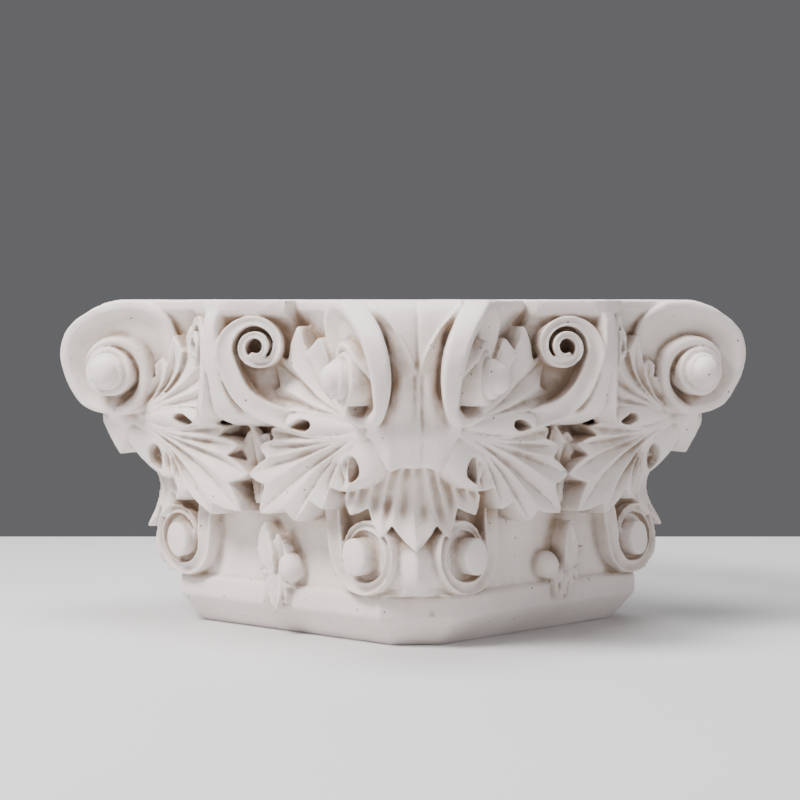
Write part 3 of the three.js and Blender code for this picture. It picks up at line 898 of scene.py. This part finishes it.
def pits_group():
    """Air pits: the middles of some cells of a fine pattern, the cells picked at random by their colour."""
    tree, ins, outs = group(
        "air_pits",
        [("Vector", "NodeSocketVector", (0, 0, 0))],
        [("Pits", "NodeSocketFloat")],
    )
    cells = tree.nodes.new("ShaderNodeTexVoronoi")
    cells.inputs["Scale"].default_value = 95
    tree.links.new(ins.outputs["Vector"], cells.inputs["Vector"])
    dot = math_node(tree, "LESS_THAN", cells.outputs["Distance"], 0.085)
    split = tree.nodes.new("ShaderNodeSeparateColor")
    tree.links.new(cells.outputs["Color"], split.inputs[0])
    few = math_node(tree, "GREATER_THAN", split.outputs[0], 0.62)
    tree.links.new(math_node(tree, "MULTIPLY", dot, few), outs.inputs["Pits"])
    return tree


def plaster():
    """Matt white plaster, a little pink, with beige-brown painted shade in the hollows and tight corners, dark
    pits and fine grain.
    """
    material = bpy.data.materials.new("old_plaster")
    material.use_nodes = True
    tree = material.node_tree
    nodes, links = tree.nodes, tree.links
    shader = nodes["Principled BSDF"]
    shader.inputs["Roughness"].default_value = 0.72
    shader.inputs["Specular IOR Level"].default_value = 0.35
    place = nodes.new("ShaderNodeTexCoord").outputs["Object"]
    field = nodes.new("ShaderNodeAttribute")
    field.attribute_name = "hollow"
    painted_shade = nodes.new("ShaderNodeGroup")
    painted_shade.node_tree = painted_shade_group()
    links.new(field.outputs["Fac"], painted_shade.inputs["Hollow"])
    links.new(place, painted_shade.inputs["Vector"])
    pits = nodes.new("ShaderNodeGroup")
    pits.node_tree = pits_group()
    links.new(place, pits.inputs["Vector"])

    def blend(share, first, second):
        node = nodes.new("ShaderNodeMix")
        node.data_type = "RGBA"
        for socket, value in ((node.inputs[0], share), (node.inputs[6], first), (node.inputs[7], second)):
            if isinstance(value, tuple):
                socket.default_value = value
            else:
                links.new(value, socket)
        return node.outputs[2]

    worn = spread(tree, noise(tree, place, 11, 4), 0.35, 0.7)
    clean = blend(worn, (0.90, 0.835, 0.805, 1), (0.83, 0.755, 0.72, 1))
    # Painted shade: beige-brown laid into the hollows and tight corners by the mask.
    with_painted_shade = blend(painted_shade.outputs["PaintedShade"], clean, (0.36, 0.265, 0.195, 1))
    # The pits are painted near-black as painted shade inside the small air holes.
    links.new(blend(pits.outputs["Pits"], with_painted_shade, (0.16, 0.12, 0.10, 1)), shader.inputs["Base Color"])
    grain = math_node(tree, "ADD", noise(tree, place, 420, 4), math_node(tree, "MULTIPLY", noise(tree, place, 120, 3), 1.6))
    height = math_node(tree, "SUBTRACT", grain, math_node(tree, "MULTIPLY", pits.outputs["Pits"], 1.5))
    bump = nodes.new("ShaderNodeBump")
    bump.inputs["Strength"].default_value = 0.35
    bump.inputs["Distance"].default_value = 0.0008
    links.new(height, bump.inputs["Height"])
    links.new(bump.outputs["Normal"], shader.inputs["Normal"])
    return material


capital.data.materials.clear()
capital.data.materials.append(plaster())
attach(capital, "root")
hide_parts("capital")

# ---------------------------------------------------------------- floor, light and camera


CAMERA_TURN = math.radians(43.1)
forward = Vector((-math.sin(CAMERA_TURN), math.cos(CAMERA_TURN), 0))
right = Vector((math.cos(CAMERA_TURN), math.sin(CAMERA_TURN), 0))
middle = Vector((0, 0, 0.16))
FLOOR_BACK = 0.74
FLOOR_FRONT = 2.4
FLOOR_SIDE = 2.4


def placed(across, back, up):
    """A point given by how far it is to the right, towards the camera and up, in metres."""
    return right * across - forward * back + Vector((0, 0, up))


def stage():
    mesh = bpy.data.meshes.new("floor")
    ends = [(-FLOOR_SIDE, -FLOOR_BACK), (FLOOR_SIDE, -FLOOR_BACK), (FLOOR_SIDE, FLOOR_FRONT),
            (-FLOOR_SIDE, FLOOR_FRONT)]
    mesh.from_pydata([placed(across, back, 0) for across, back in ends], [], [(0, 1, 2, 3)])
    floor = bpy.data.objects.new("floor", mesh)
    bpy.context.scene.collection.objects.link(floor)
    material = bpy.data.materials.new("pale_floor")
    material.use_nodes = True
    shader = material.node_tree.nodes["Principled BSDF"]
    shader.inputs["Base Color"].default_value = (0.74, 0.74, 0.745, 1)
    shader.inputs["Roughness"].default_value = 0.7
    mesh.materials.append(material)
    return floor


def area_light(name, place, aim, size, power, colour=(1, 1, 1)):
    data = bpy.data.lights.new(name, "AREA")
    data.shape = "DISK"
    data.size = size
    data.energy = power
    data.color = colour
    lamp = bpy.data.objects.new(name, data)
    bpy.context.scene.collection.objects.link(lamp)
    lamp.location = place
    lamp.rotation_euler = (Vector(aim) - Vector(place)).to_track_quat("-Z", "Y").to_euler()
    return lamp


stage()
area_light("key", placed(-1.3, 1.0, 1.9), middle, 0.8, 92, (1.0, 0.965, 0.945))
area_light("fill", placed(1.9, 1.5, 0.9), middle, 1.6, 11, (1.0, 0.97, 0.97))
area_light("top", placed(-0.1, 0.15, 2.2), middle, 1.2, 42)
area_light("back", placed(0.3, -1.8, 1.6), middle, 1.4, 14)
world = bpy.data.worlds.new("studio")
world.use_nodes = True
world.node_tree.nodes["Background"].inputs["Color"].default_value = (0.135, 0.135, 0.14, 1)
world.node_tree.nodes["Background"].inputs["Strength"].default_value = 1.0
bpy.context.scene.world = world

camera_data = bpy.data.cameras.new("camera")
camera_data.lens = 105.3
camera_data.sensor_width = 36
camera_data.shift_y = -0.125
camera_data.clip_start = 0.05
camera_data.clip_end = 50
camera = bpy.data.objects.new("camera", camera_data)
bpy.context.scene.collection.objects.link(camera)
camera.location = placed(-0.0033, 2.226, 0.3)
camera.rotation_euler = forward.to_track_quat("-Z", "Y").to_euler()
bpy.context.scene.camera = camera
